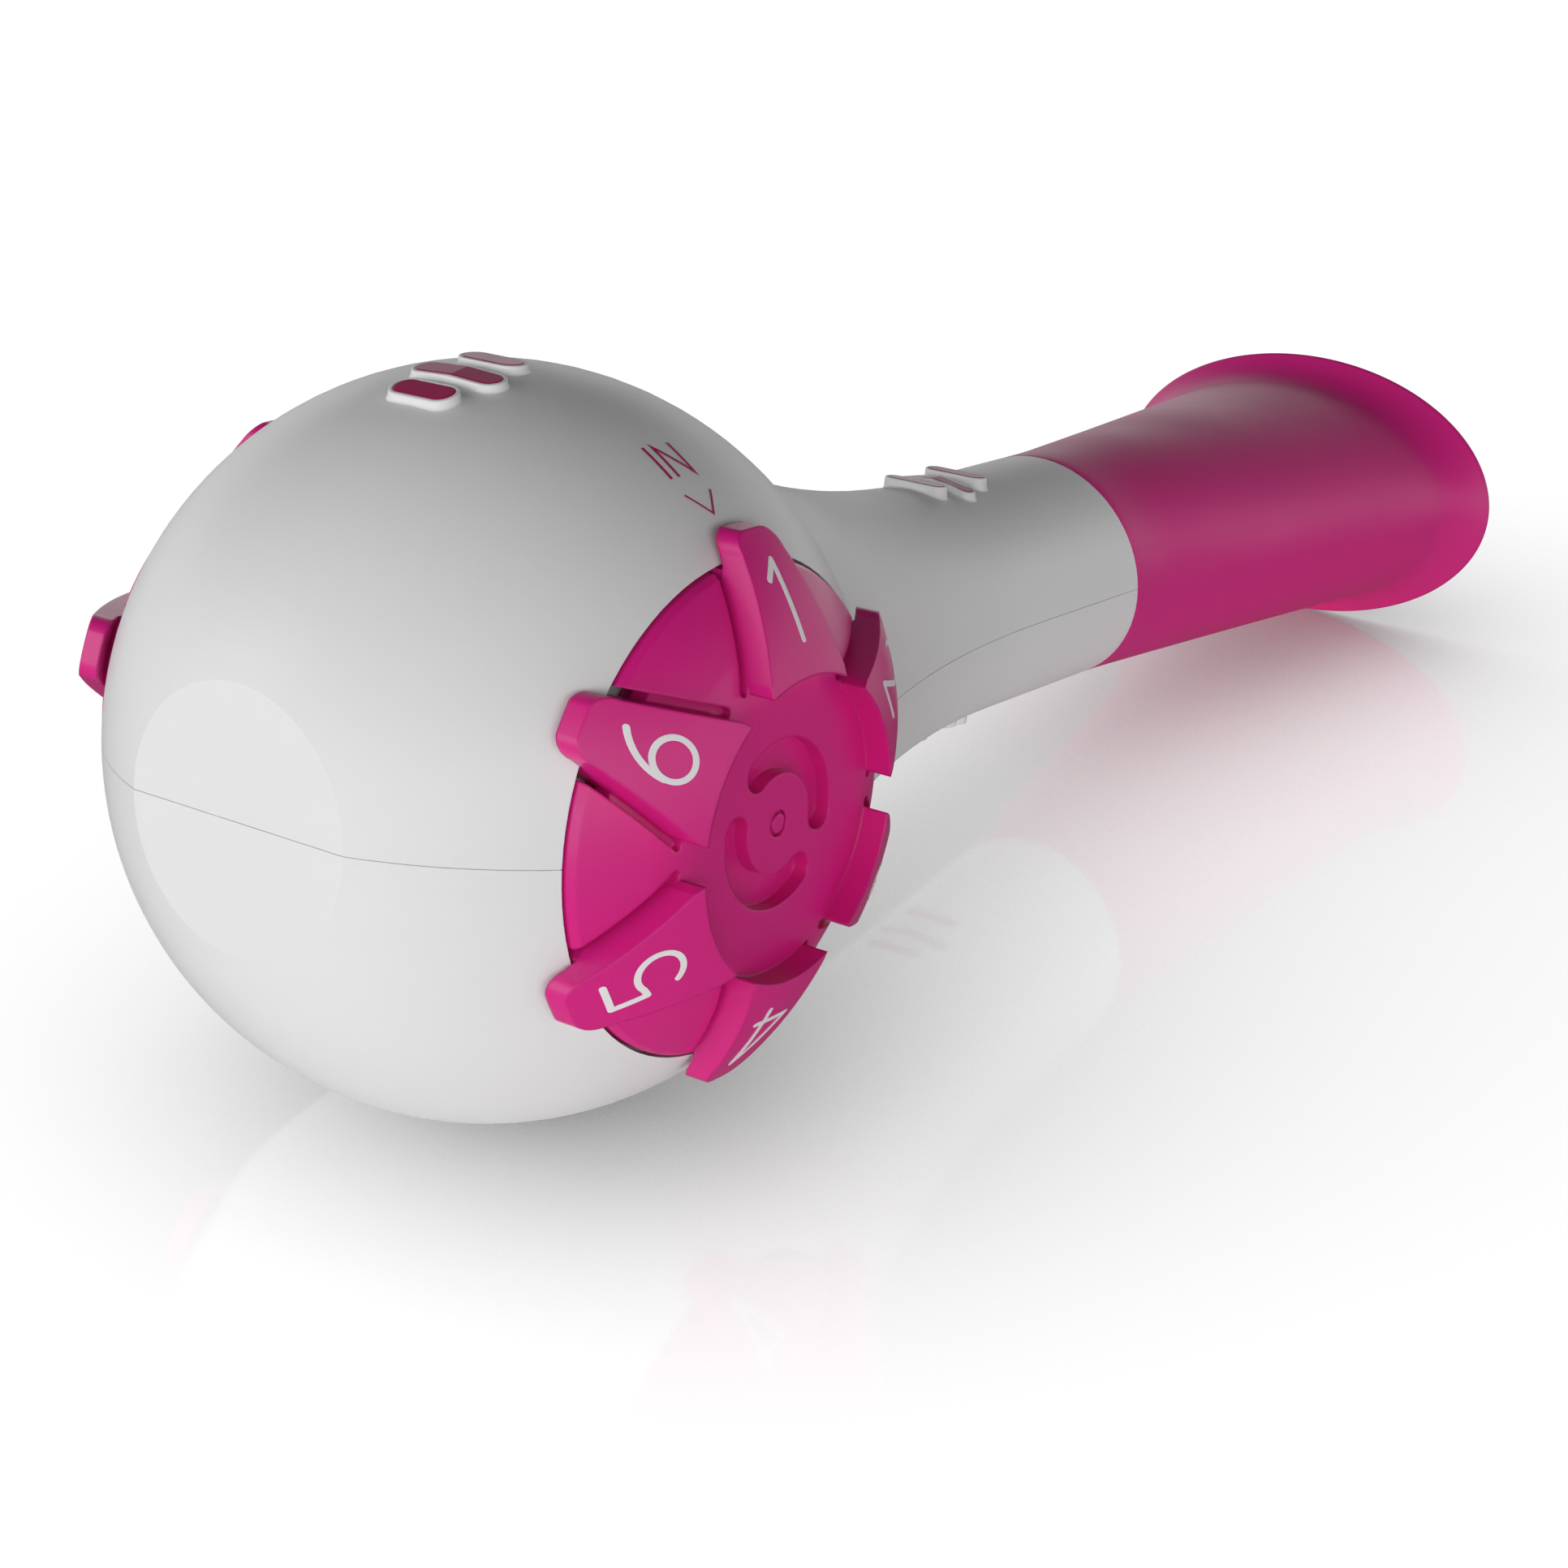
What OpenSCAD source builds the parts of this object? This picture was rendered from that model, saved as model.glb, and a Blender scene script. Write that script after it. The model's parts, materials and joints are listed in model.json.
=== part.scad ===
// Breathing trainer: a ball-shaped valve housing with a graded dial on each side, a neck and a mouthpiece.
// Sizes are in millimetres. The pieces are drawn round the ball's centre, with the neck along +Y and the
// inhale dial on +X. Last they are tilted and lifted, so that the ball and the mouthpiece's rim rest on z = 0.

/* [Ball] */
// Outer diameter of the ball
ball_d = 60; // [54:1:70]
// Thickness of the moulded shell
shell_wall = 2.3; // [1.8:0.1:2.8]
// Diameter of the flat foot opposite the neck
foot_d = 20.8; // [14:0.2:26]

/* [Neck] */
// Outer radius of the neck's straight end
neck_r = 11.4; // [10.8:0.1:12.6]
// Radius of the long hollow curve from the neck's straight end to the ball
neck_sweep_r = 112; // [90:1:130]
// How far the ball reaches past that curve, where the two would meet without a fillet
neck_bite = 2.05; // [1.8:0.05:2.6]
// Radius of the small fillet where that curve meets the ball
neck_fillet_r = 4; // [2:0.5:6]
// Distance from the ball's centre to the joint with the mouthpiece
neck_end_y = 84.2; // [80:0.2:90]
// Slant of that joint, in degrees
joint_slant = 9.4; // [0:0.2:12]

/* [Mouthpiece] */
// Distance from the ball's centre to the mouthpiece's rim
rim_y = 144.6; // [136:0.2:156]
// Half of the rim's width
rim_half_w = 22.8; // [19:0.2:26]
// Half of the rim's height
rim_half_h = 14.6; // [13.6:0.2:17]
// Length of the flare at the rim
flare_l = 9; // [8:0.5:14]
// Radius of the flare's curve
flare_r = 18; // [15:1:40]
// Wall of the mouthpiece
mouth_wall = 1.8; // [1.4:0.1:2]

/* [Sleeve] */
// Wall of the inner sleeve that carries the mouthpiece
sleeve_wall = 1.6; // [1.5:0.1:2]
// How far the sleeve stands out of the neck
sleeve_out = 14; // [11:0.5:18]
// How far the sleeve reaches back into the neck
sleeve_in = 14; // [10:0.5:16]
// Thickness of the mouthpiece's seal ring
seal_cord_d = 1.4; // [1:0.1:1.6]

/* [Dials] */
// Radius of both dials, without their paddles
dial_r = 19.1; // [18.8:0.1:19.6]
// Radius of the flat hub face, measured where it would cut the dial's dome
hub_r = 12; // [11:0.1:12.6]
// Radius of the soft edge between hub face and dome
hub_edge_r = 9; // [5:0.5:14]
// How far the dial's dome stands proud of the ball
dial_proud = 0.3; // [0.1:0.1:0.6]
// Thickness of the dial's dome
dial_wall = 2.1; // [1.8:0.1:2.3]
// Number of settings on the inhale dial
inhale_settings = 6; // [4:1:6]
// Number of settings on the exhale dial
exhale_settings = 5; // [4:1:6]

/* [Paddles] */
// Height of a paddle's top above the ball
paddle_lift = 2.2; // [1.8:0.1:2.6]
// Radius of the hollow inner end of the paddles
paddle_in_r = 11.8; // [11:0.1:12.4]
// How far the paddle tips stand out past the dial
paddle_out = 2.6; // [2:0.1:3.2]
// Width of a paddle at its inner end
paddle_in_w = 9.2; // [7.6:0.1:9.6]
// Width of a paddle at its tip
paddle_tip_w = 5; // [4.4:0.1:6]
// Radius of the tip's corners
paddle_corner_r = 1.6; // [0.8:0.1:2]
// Thickness of a paddle's tip
paddle_tip_t = 1.9; // [1.6:0.1:2.2]
// Width of the grooves beside the paddles
groove_w = 0.8; // [0.5:0.1:1]
// Depth of the grooves beside the paddles
groove_t = 0.9; // [0.5:0.1:1.2]

/* [Hub arcs] */
// Inner radius of the two arc recesses
arc_in_r = 3.9; // [3.2:0.1:4.4]
// Outer radius of the two arc recesses
arc_out_r = 6.65; // [5.8:0.05:7.4]
// Sweep of each arc recess, in degrees, without its round ends
arc_sweep = 127; // [90:1:135]
// Depth of the arc recesses
arc_t = 1.3; // [0.6:0.1:1.5]
// Turn of the upper arc's middle, in degrees from the neck's side
arc_turn = 60; // [40:1:80]

/* [Valves] */
// Radius of the port in each fixed plate, as a share of the dial's radius
port_share = 0.1885; // [0.16:0.0005:0.198]
// Distance of the port from the dial's axis, as a share of the dial's radius
port_ring_share = 0.555; // [0.545:0.005:0.57]
// Thickness of the fixed plate
plate_t = 1.8; // [1.5:0.1:2.4]
// Thickness of the turning disc with the graded holes
disc_t = 1.3; // [1:0.1:1.4]
// Radius of the widest graded hole, as a share of the port's radius
hole_max_share = 0.83; // [0.66:0.01:0.88]
// Radius of the narrowest graded hole, as a share of the port's radius
hole_min_share = 0.28; // [0.22:0.01:0.38]
// Thickness of the valve flap
flap_t = 0.8; // [0.6:0.1:1.2]
// Travel of the valve flap
flap_lift = 1.5; // [1:0.1:2]
// Radius of the pin that each dial turns on
pin_r = 1; // [0.8:0.1:1.2]

/* [Grips] */
// Length of the ball's middle bar, across the neck's axis
ball_bar_l = 8.2; // [6:0.1:9]
// Share of the middle bar's length that the bars beside it have, on ball and neck
end_bar_share = 0.7; // [0.5:0.02:1]
// Width of the bars on the ball
ball_bar_w = 2.3; // [1.6:0.1:2.6]
// Distance between the bars on the ball
ball_bar_pitch = 3.9; // [3.6:0.1:4.6]
// Distance from the ball's centre to the middle bar, towards the foot
ball_bar_y = 5.2; // [5:0.1:8]
// Length of the neck's middle bar
neck_bar_l = 7.6; // [5:0.1:8]
// Width of the bars on the neck
neck_bar_w = 1.6; // [1.2:0.1:1.8]
// Distance between the bars on the neck
neck_bar_pitch = 3.5; // [2.8:0.1:4]
// Distance from the ball's centre to the neck's middle bar
neck_bar_y = 63.5; // [56:0.5:64]

/* [Numerals] */
// Height of the numerals
numeral_h = 5.3; // [5:0.1:5.3]
// Width of the numerals' strokes
numeral_w = 0.44; // [0.44:0.02:0.48]

/* [Hidden] */
$fn = 96;

// Colours
shell_white = [0.91, 0.91, 0.91];
dial_magenta = [0.82, 0.09, 0.47];
mouth_magenta = [0.72, 0.15, 0.42];
seal_grey = [0.35, 0.36, 0.38];
flap_clear = [0.80, 0.82, 0.84];
print_white = [0.97, 0.97, 0.97];

// Clearances and the overrun of every cut
overrun = 1;
fit_gap = 0.05;
loose_gap = 0.1;
seat_gap = 0.3;
dial_gap = 0.25;
joint_gap = 0.12;
disc_gap = 0.12;
seal_proud = 0.06;

// Ball and neck
ball_r = ball_d / 2;
foot_r = foot_d / 2;
foot_y = sqrt(pow(ball_r, 2) - pow(foot_r, 2));
sweep_far = ball_r + neck_sweep_r - neck_bite;
neck_waist_y = sqrt(pow(sweep_far, 2) - pow(neck_r + neck_sweep_r, 2));
sweep_c = [neck_r + neck_sweep_r, neck_waist_y];
sweep_turn = atan2(sweep_c.y, sweep_c.x);
fillet_to_ball = ball_r + neck_fillet_r;
fillet_to_sweep = neck_sweep_r - neck_fillet_r;
fillet_cos = (pow(fillet_to_ball, 2) + pow(sweep_far, 2) - pow(fillet_to_sweep, 2))
    / (2 * fillet_to_ball * sweep_far);
fillet_turn = sweep_turn + acos(fillet_cos);
fillet_c = [fillet_to_ball * cos(fillet_turn), fillet_to_ball * sin(fillet_turn)];
seam_groove_t = 0.1;
seam_groove_w = 0.03;
tongue_in = 0.85;
tongue_w = 0.6;
tongue_h = 0.7;

// Sleeve and seal
sleeve_r = neck_r - shell_wall - fit_gap;
sleeve_bore_r = sleeve_r - sleeve_wall;
flange_out = 1.2;
flange_r = sleeve_r + flange_out;
flange_w = 1.8;
flange_y = neck_end_y - sleeve_in + flange_w;
seal_y = neck_end_y + sleeve_out * 0.55;
seal_seat_r = sleeve_r - seal_cord_d * 0.7;
seal_ring_r = seal_seat_r + seal_cord_d / 2 + fit_gap;
socket_r = sleeve_r + fit_gap;
socket_y = neck_end_y + sleeve_out + seat_gap;

// Mouthpiece
mouth_segments = 60;
lip_r = mouth_wall / 2;
lip_y = rim_y - lip_r;
lip_half_h = rim_half_h - lip_r;
flare_y = lip_y - flare_l;
flare_rise = flare_r - sqrt(pow(flare_r, 2) - pow(flare_l, 2));
mouth_ease = 6;
throat_l = 14;
mouth_start_y = neck_end_y - neck_r * tan(joint_slant) - overrun;
body_steps = 9;
flare_steps = 7;
lip_steps = 6;
throat_steps = 8;

// Dial and fixed plate, measured along the dial's axis from the ball's centre
open_r = dial_r + dial_gap;
port_r = port_share * dial_r;
port_ring_r = port_ring_share * dial_r;
hole_max_r = hole_max_share * port_r;
hole_min_r = hole_min_share * port_r;
dome_r = ball_r + dial_proud;
hub_x = sqrt(pow(dome_r, 2) - pow(hub_r, 2));
hub_extra_t = 0.3;
hub_inner_x = hub_x - dial_wall - hub_extra_t;
edge_x = sqrt(pow(ball_r, 2) - pow(open_r, 2));
edge_land = 1.7;
plate_x = edge_x - edge_land;
plate_in_x = plate_x - plate_t;
plate_grip = 1;
plate_r = open_r + plate_grip;
ledge_w = 1.6;
ledge_t = 1.6;
ledge_in_x = plate_in_x - ledge_t;
ledge_out_r = plate_r + 1.8;
skirt_w = 1.6;
skirt_x = plate_x + seat_gap;
rim_bevel = 0.35;
boss_r = pin_r + 2;
boss_l = 2.2;
key_w = 1.6;
key_l = 1.1;
arc_end_out = 0.02;
pin_head_r = pin_r + 1.2;
pin_head_t = 1;
pin_ring_w = 0.25;
pin_ring_t = 0.3;
disc_x = plate_x + disc_gap;
disc_room_r = sqrt(pow(dome_r - dial_wall, 2) - pow(disc_x + disc_t + loose_gap, 2));
seal_lip_w = 1.2;
seal_depth = 0.9;
disc_r = min(port_ring_r + port_r + 1.5 * seal_lip_w, disc_room_r);

// Paddles
top_r = ball_r + paddle_lift;
paddle_tip_r = dial_r + paddle_out;
tip_under_x = sqrt(pow(top_r, 2) - pow(paddle_tip_r, 2)) - paddle_tip_t;
rim_under_x = edge_x + dial_proud + loose_gap;
groove_tuck = 0.1;
inner_root_x = hub_inner_x + 0.5 * dial_wall;

// Valve
seat_h = 0.6;
seat_w = 0.5;
flap_r = port_r + 1;
cage_gap = 0.35;
cage_in_r = flap_r + cage_gap;
cage_wall = 0.8;
cage_r = cage_in_r + cage_wall;
collar_w = 0.8;
collar_h = 1.2;
cage_floor_t = 1;
cage_l = seat_h + flap_t + flap_lift + seat_gap + seat_h + cage_floor_t;
spoke_w = 1;

// Grip bars: a white plinth with a coloured top let into it
ball_plinth_h = 0.5;
ball_rim_w = 0.2;
neck_plinth_h = 0.6;
neck_rim_w = 0.15;
inlay_h = 0.15;
inlay_t = 0.5;

// Numerals
print_t = 0.05;
print_out = 0.25;
numeral_at_r = (paddle_in_r + paddle_tip_r) / 2 + print_out;

// The rest: the ball and the rim's lip touch the floor
rest_up = ball_r;
rest_tilt = asin((ball_r - lip_r) / norm([lip_y, lip_half_h])) - atan2(lip_half_h, lip_y);
back_y = -foot_y * cos(rest_tilt) - foot_r * sin(rest_tilt);
front_y = lip_y * cos(rest_tilt) + lip_half_h * sin(rest_tilt) + lip_r;
middle_y = (back_y + front_y) / 2;

module at_rest() {
    translate([0, -middle_y, rest_up])
        rotate([-rest_tilt, 0, 0])
            children();
}

// The exhale side is the inhale side turned half round
module on_side(exhale) {
    rotate([0, 0, exhale ? 180 : 0])
        children();
}

// A half section turned round the dial's axis or the neck's axis
module turned_on_x() {
    rotate([0, 90, 0])
        rotate_extrude()
            children();
}

module turned_on_y() {
    rotate([-90, 0, 0])
        rotate_extrude()
            children();
}

// A drawing in the plane square to the dial's axis, pushed out along the axis
module face_on(x_from, x_to) {
    translate([x_from, 0, 0])
        rotate([90, 0, 90])
            linear_extrude(x_to - x_from)
                children();
}

// A cylinder or a ring along the dial's axis
module disc_on_x(r, x_from, x_to) {
    translate([x_from, 0, 0])
        rotate([0, 90, 0])
            cylinder(r = r, h = x_to - x_from);
}

module disc_on_y(r, y_from, y_to) {
    translate([0, y_from, 0])
        rotate([-90, 0, 0])
            cylinder(r = r, h = y_to - y_from);
}

// Ball and neck

// Half section of ball and neck, grown by off all round; radius to the right, neck upwards
module body_section(off, end_y) {
    fillet_at = ball_r + off;
    sweep_dir = (fillet_c - sweep_c) / norm(fillet_c - sweep_c);
    ball_touch = fillet_at * fillet_c / norm(fillet_c);
    sweep_touch = sweep_c + (neck_sweep_r - off) * sweep_dir;
    intersection() {
        circle(r = ball_r + off);
        translate([0, -foot_y - off])
            square([ball_r + off, foot_y + ball_r + 2 * off]);
    }
    difference() {
        polygon([
            [0, 0], ball_touch, fillet_c, sweep_touch,
            [sweep_touch.x, neck_waist_y], [0, neck_waist_y]
        ]);
        translate(fillet_c)
            circle(r = neck_fillet_r - off);
        translate(sweep_c)
            circle(r = neck_sweep_r - off);
    }
    translate([0, neck_waist_y])
        square([neck_r + off, end_y - neck_waist_y]);
}

module body_solid(off, end_y) {
    turned_on_y()
        body_section(off, end_y);
}

// Everything beyond the slanted joint
module beyond_joint() {
    reach = 2 * rim_y;
    translate([0, neck_end_y, 0])
        rotate([joint_slant, 0, 0])
            translate([-reach / 2, 0, -reach / 2])
                cube(reach);
}

module half_space(up) {
    reach = 2 * rim_y;
    translate([-reach / 2, -reach / 2, up ? 0 : -reach])
        cube(reach);
}

// The hollow for one fixed plate and its dial
module side_opening() {
    disc_on_x(open_r, plate_x - overrun, ball_r + overrun);
    disc_on_x(plate_r + loose_gap, plate_in_x, plate_x);
    disc_on_x(plate_r - ledge_w, ledge_in_x - overrun, plate_in_x + overrun);
}

// The inner space, left solid where the plates are held
module inner_space() {
    difference() {
        body_solid(-shell_wall, neck_end_y + neck_r);
        for (exhale = [false, true])
            on_side(exhale)
                disc_on_x(ledge_out_r, ledge_in_x, ball_r);
    }
}

// Round-ended bars that rise from the middle of the part, grown by rim in plan
module bar(length, width, y_at) {
    end_r = width / 2;
    translate([0, y_at, 0])
        linear_extrude(2 * ball_r) {
            square([length - width, width], center = true);
            for (side = [-1, 1])
                translate([side * (length / 2 - end_r), 0])
                    circle(r = end_r);
        }
}

module ball_bars(rim) {
    bar(ball_bar_l + 2 * rim, ball_bar_w + 2 * rim, -ball_bar_y);
    for (side = [-1, 1])
        bar(end_bar_share * ball_bar_l + 2 * rim, ball_bar_w + 2 * rim, side * ball_bar_pitch - ball_bar_y);
}

module neck_bars(rim) {
    bar(neck_bar_l + 2 * rim, neck_bar_w + 2 * rim, neck_bar_y);
    for (side = [-1, 1])
        bar(end_bar_share * neck_bar_l + 2 * rim, neck_bar_w + 2 * rim, neck_bar_y + side * neck_bar_pitch);
}

module grown_body(off) {
    body_solid(off, neck_end_y);
}

module ball_inlay(gap) {
    intersection() {
        ball_bars(gap);
        difference() {
            grown_body(ball_plinth_h + inlay_h + gap);
            grown_body(ball_plinth_h + inlay_h - inlay_t - gap);
        }
    }
}

module neck_inlay(gap) {
    intersection() {
        neck_bars(gap);
        difference() {
            grown_body(neck_plinth_h + inlay_h + gap);
            grown_body(neck_plinth_h + inlay_h - inlay_t - gap);
        }
    }
}

// One half of the housing; only the lower half has the tongue, which stands in a groove of the upper one
module half_shell(lower) {
    difference() {
        union() {
            intersection() {
                body_solid(0, neck_end_y + neck_r);
                half_space(!lower);
            }
            in_half(lower)
                neck_plinths();
            if (!lower)
                ball_plinths();
            if (lower)
                tongue(0);
        }
        inner_space();
        beyond_joint();
        for (exhale = [false, true])
            on_side(exhale)
                side_opening();
        disc_on_y(flange_r + loose_gap, flange_y - flange_w - loose_gap, flange_y + loose_gap);
        in_half(lower)
            neck_inlay(0);
        if (!lower)
            ball_inlay(0);
        seam_line();
        if (!lower)
            tongue(loose_gap);
    }
}

module in_half(lower) {
    rotate([0, lower ? 180 : 0, 0])
        children();
}

module ball_plinths() {
    intersection() {
        ball_bars(ball_rim_w);
        grown_body(ball_plinth_h);
    }
}

module neck_plinths() {
    intersection() {
        neck_bars(neck_rim_w);
        grown_body(neck_plinth_h);
    }
}

// A fine line along the seam on the outside
module seam_line() {
    intersection() {
        difference() {
            body_solid(overrun, neck_end_y + neck_r);
            body_solid(-seam_groove_t, neck_end_y + neck_r);
        }
        translate([-ball_d, -ball_d, -seam_groove_w])
            cube([2 * ball_d, 2 * rim_y, 2 * seam_groove_w]);
    }
}

// The tongue that stands in the middle of the wall along the neck and round the back of the ball
module tongue(gap) {
    intersection() {
        difference() {
            body_solid(-tongue_in + gap, neck_end_y + neck_r);
            body_solid(-tongue_in - tongue_w - gap, neck_end_y + neck_r);
        }
        union() {
            tongue_strip(neck_waist_y - neck_sweep_r / 4, flange_y - 2 * flange_w, gap);
            tongue_strip(-foot_y + overrun, -open_r - 2 * plate_grip, gap);
        }
    }
}

module tongue_strip(y_from, y_to, gap) {
    translate([-ball_d / 2, y_from - gap, -tongue_h - gap])
        cube([ball_d, y_to - y_from + 2 * gap, 2 * tongue_h + 2 * gap]);
}

module upper_shell() {
    color(shell_white)
        at_rest()
            half_shell(false);
}

module lower_shell() {
    color(shell_white)
        at_rest()
            half_shell(true);
}

module ball_grip_top() {
    color(dial_magenta)
        at_rest()
            ball_inlay(-fit_gap);
}

module neck_grip_top() {
    color(dial_magenta)
        at_rest()
            neck_inlay(-fit_gap);
}

module neck_grip_bottom() {
    color(dial_magenta)
        at_rest()
            rotate([0, 180, 0])
                neck_inlay(-fit_gap);
}

// Sleeve, seal and mouthpiece

module neck_sleeve() {
    color(shell_white)
        at_rest()
            difference() {
                union() {
                    disc_on_y(sleeve_r, neck_end_y - sleeve_in, neck_end_y + sleeve_out);
                    disc_on_y(flange_r, flange_y - flange_w, flange_y);
                }
                disc_on_y(sleeve_bore_r, neck_end_y - sleeve_in - overrun, neck_end_y + sleeve_out + overrun);
                turned_on_y()
                    translate([seal_seat_r, seal_y - seal_cord_d / 2 - loose_gap])
                        square([seal_cord_d + overrun, seal_cord_d + 2 * loose_gap]);
            }
}

module mouthpiece_seal() {
    color(seal_grey)
        at_rest()
            turned_on_y()
                intersection() {
                    translate([seal_ring_r, seal_y])
                        circle(r = seal_cord_d / 2);
                    translate([0, seal_y - seal_cord_d])
                        square([sleeve_r + fit_gap / 3, 2 * seal_cord_d]);
                }
}

// Share of the way along the mouthpiece, with a soft start
function eased(s, e) = (s < 0 ? 0 : s < e ? pow(s, 2) / (2 * e) : s - e / 2);
function along_share(y) = eased(y - neck_end_y, mouth_ease) / (lip_y - neck_end_y - mouth_ease / 2);
function flare_at(y) = y < flare_y ? 0 : flare_r - sqrt(pow(flare_r, 2) - pow(y - flare_y, 2));
function mouth_half(y, rim_half) =
    neck_r + (rim_half - flare_rise - neck_r) * along_share(y) + flare_at(y);
function soft_share(s) = s < 0 ? 0 : s > 1 ? 1 : s * s * (3 - 2 * s);
function throat_share(y) = soft_share((y - socket_y) / throat_l);
function inner_half(y, rim_half) =
    sleeve_bore_r + (mouth_half(y, rim_half) - mouth_wall - sleeve_bore_r) * throat_share(y);

function ring(y, half_w, half_h) = [
    for (i = [0 : mouth_segments - 1])
        let (turn = 360 * i / mouth_segments)
            [half_w * cos(turn), y, half_h * sin(turn)]
];

function between(from, to, steps, i) = from + (to - from) * i / steps;
function outer_ring(y) = ring(y, mouth_half(y, rim_half_w), mouth_half(y, rim_half_h));
function inner_ring(y) = ring(y, inner_half(y, rim_half_w), inner_half(y, rim_half_h));

// Rings along the outside, round the lip and back along the inside
function mouth_rings() = concat(
    [for (i = [0 : body_steps - 1]) outer_ring(between(mouth_start_y, flare_y, body_steps, i))],
    [for (i = [0 : flare_steps - 1]) outer_ring(between(flare_y, lip_y, flare_steps, i))],
    [for (i = [0 : lip_steps]) let (turn = 180 * i / lip_steps, out = lip_r * cos(turn) - lip_r)
        ring(lip_y + lip_r * sin(turn), rim_half_w + out, rim_half_h + out)],
    [for (i = [1 : flare_steps]) inner_ring(between(lip_y, flare_y, flare_steps, i))],
    [for (i = [1 : throat_steps]) inner_ring(between(flare_y, socket_y, throat_steps, i))],
    [ring(mouth_start_y, sleeve_bore_r, sleeve_bore_r)]
);

// A closed ring-shaped skin through a loop of rings
module looped_skin(rings) {
    n = len(rings[0]);
    m = len(rings);
    points = [for (each_ring = rings) each each_ring];
    faces = [
        for (j = [0 : m - 1])
            for (i = [0 : n - 1])
                let (a = j * n + i, b = j * n + (i + 1) % n)
                    let (c = ((j + 1) % m) * n + (i + 1) % n, d = ((j + 1) % m) * n + i)
                        each [[a, b, c], [a, c, d]]
    ];
    polyhedron(points = points, faces = faces, convexity = 6);
}

module mouthpiece() {
    color(mouth_magenta)
        at_rest()
            difference() {
                looped_skin(mouth_rings());
                near_side_of_joint();
                disc_on_y(socket_r, mouth_start_y - overrun, socket_y);
            }
}

// Everything on the ball's side of the joint, less the thin line between neck and mouthpiece
module near_side_of_joint() {
    reach = 2 * rim_y;
    translate([0, neck_end_y + joint_gap, 0])
        rotate([joint_slant, 0, 0])
            translate([-reach / 2, -reach, -reach / 2])
                cube(reach);
}

// Dial

// Half section of the dial's outside; radius to the right, axis upwards
module dial_outline() {
    edge_c = [
        sqrt(pow(dome_r - hub_edge_r, 2) - pow(hub_x - hub_edge_r, 2)),
        hub_x - hub_edge_r
    ];
    edge_touch = dome_r * edge_c / norm(edge_c);
    difference() {
        intersection() {
            circle(r = dome_r);
            rim_shape();
        }
        difference() {
            polygon([edge_c, [edge_c.x, hub_x + overrun], [dial_r, hub_x + overrun], 1.2 * edge_touch]);
            translate(edge_c)
                circle(r = hub_edge_r);
        }
    }
}

module rim_shape() {
    rim_top_x = sqrt(pow(dome_r, 2) - pow(dial_r, 2));
    bevel = [-rim_bevel, 2 * rim_bevel];
    polygon([
        [0, skirt_x],
        [dial_r, skirt_x],
        [dial_r, rim_top_x - rim_bevel],
        [dial_r, rim_top_x - rim_bevel] + 3 * bevel,
        [dial_r - 3 * rim_bevel, hub_x],
        [0, hub_x]
    ]);
}

// The hollow under the dial's dome, round the boss
module dial_hollow() {
    turned_on_x()
        difference() {
            intersection() {
                circle(r = dome_r - dial_wall);
                translate([0, skirt_x - overrun])
                    square([dial_r - skirt_w, hub_inner_x - skirt_x + overrun]);
            }
            square([boss_r, hub_x]);
        }
}

// Half section of the paddles: a dome round the ball's centre, open underneath towards the tip
module paddle_section() {
    intersection() {
        circle(r = top_r);
        polygon([
            [paddle_in_r - overrun, inner_root_x],
            [dial_r - skirt_w, rim_under_x],
            [dial_r + dial_gap, rim_under_x],
            [paddle_tip_r, tip_under_x],
            [paddle_tip_r, top_r],
            [paddle_in_r - overrun, top_r]
        ]);
    }
}

// Plan of one paddle, pointing up, grown by rim at its sides
module paddle_plan(rim, reach_in) {
    half_in = paddle_in_w / 2 + rim;
    half_tip = paddle_tip_w / 2 + rim;
    corner_y = paddle_tip_r - paddle_corner_r;
    difference() {
        union() {
            polygon([
                [-half_in, 0], [half_in, 0], [half_in, paddle_in_r],
                [half_tip, corner_y], [-half_tip, corner_y], [-half_in, paddle_in_r]
            ]);
            translate([paddle_corner_r - half_tip, 0])
                square([2 * (half_tip - paddle_corner_r), paddle_tip_r]);
            for (side = [-1, 1])
                translate([side * (half_tip - paddle_corner_r), corner_y])
                    circle(r = paddle_corner_r);
        }
        circle(r = reach_in);
    }
}

module paddle_places(count) {
    for (i = [0 : count - 1])
        rotate([-360 * i / count, 0, 0])
            children();
}

module paddles(count) {
    intersection() {
        turned_on_x()
            paddle_section();
        paddle_places(count)
            face_on(0, ball_r + 2 * paddle_lift)
                paddle_plan(0, paddle_in_r);
    }
}

// Grooves at both sides of each paddle; at the rim they run through, which lets the air in
module grooves(count) {
    intersection() {
        turned_on_x()
            difference() {
                translate([0, skirt_x - overrun])
                    square([ball_r, ball_r]);
                intersection() {
                    circle(r = dome_r - groove_t);
                    square([ball_r, hub_x - groove_t]);
                }
            }
        paddle_places(count)
            groove_pair();
    }
    intersection() {
        turned_on_x()
            translate([dial_r - 1.5 * skirt_w, skirt_x - overrun])
                square([2 * skirt_w, ball_r]);
        paddle_places(count)
            groove_pair();
    }
}

module groove_pair() {
    half_in = paddle_in_w / 2;
    half_tip = paddle_tip_w / 2;
    lean = atan2(half_in - half_tip, paddle_tip_r - paddle_corner_r - paddle_in_r);
    face_on(skirt_x - overrun, ball_r)
        for (side = [-1, 1])
            translate([side * half_in, paddle_in_r])
                rotate(side * lean)
                    translate([side * (groove_w / 2 - groove_tuck), -groove_w])
                        union() {
                            circle(r = groove_w / 2);
                            translate([-groove_w / 2, 0])
                                square([groove_w, dial_r]);
                        }
}

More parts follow.
